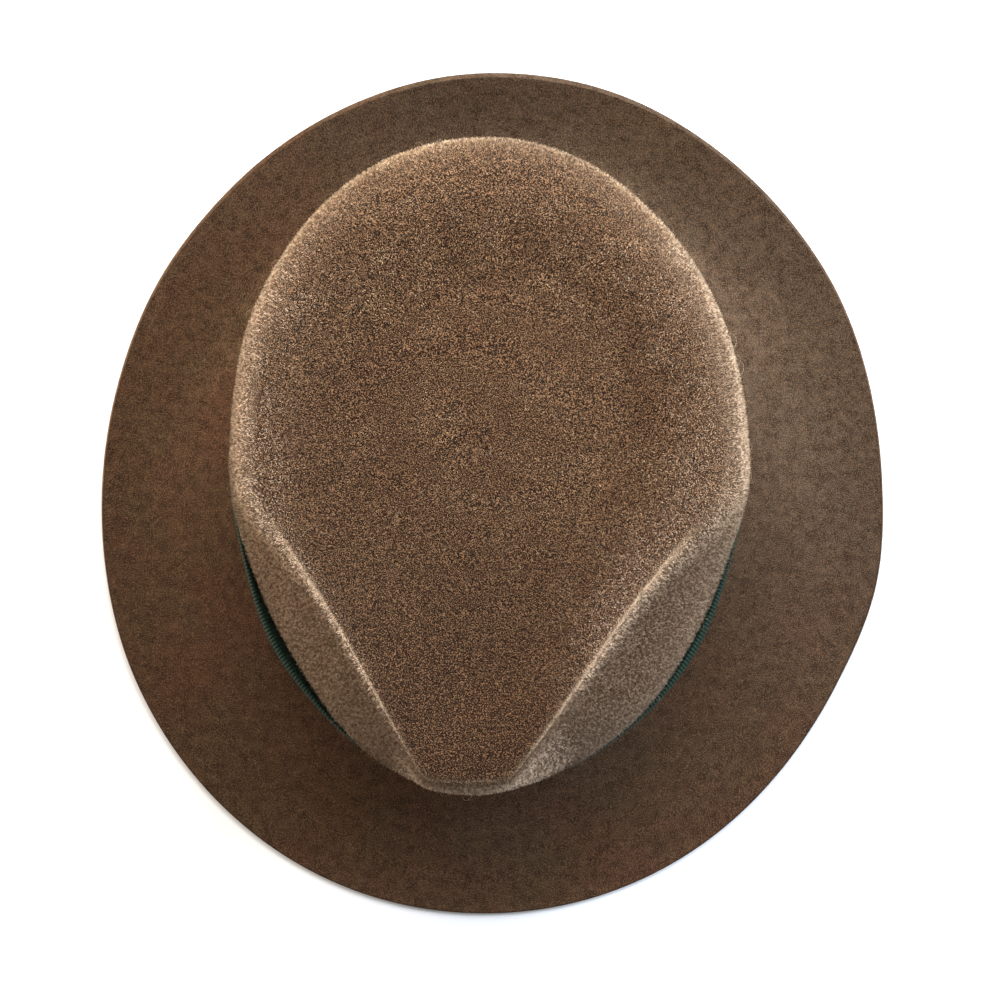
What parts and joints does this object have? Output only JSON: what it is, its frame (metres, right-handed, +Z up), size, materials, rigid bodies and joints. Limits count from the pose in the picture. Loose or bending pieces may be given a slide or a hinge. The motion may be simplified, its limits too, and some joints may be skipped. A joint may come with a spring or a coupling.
{
  "type": "fedora",
  "caption": "Wool-felt fedora with a teardrop crown, pinched front, dented top, raw-edged snap brim turned up behind, and a grosgrain ribbon.",
  "frame": {"origin": "on the surface the hat stands on, under the middle of the brim's outline", "axes": "+Z up, -Y out of the pinched front, +X towards the wearer's left"},
  "size_m": [0.2724, 0.2882, 0.1064],
  "materials": {
    "wool_felt": "brushed brown wool felt with a short nap",
    "grosgrain_ribbon": "dark green ribbed ribbon"
  },
  "bodies": {
    "root": {"felt_body": "wool_felt", "ribbon_band": "grosgrain_ribbon", "ribbon_lap": "grosgrain_ribbon"}
  },
  "joints": []
}
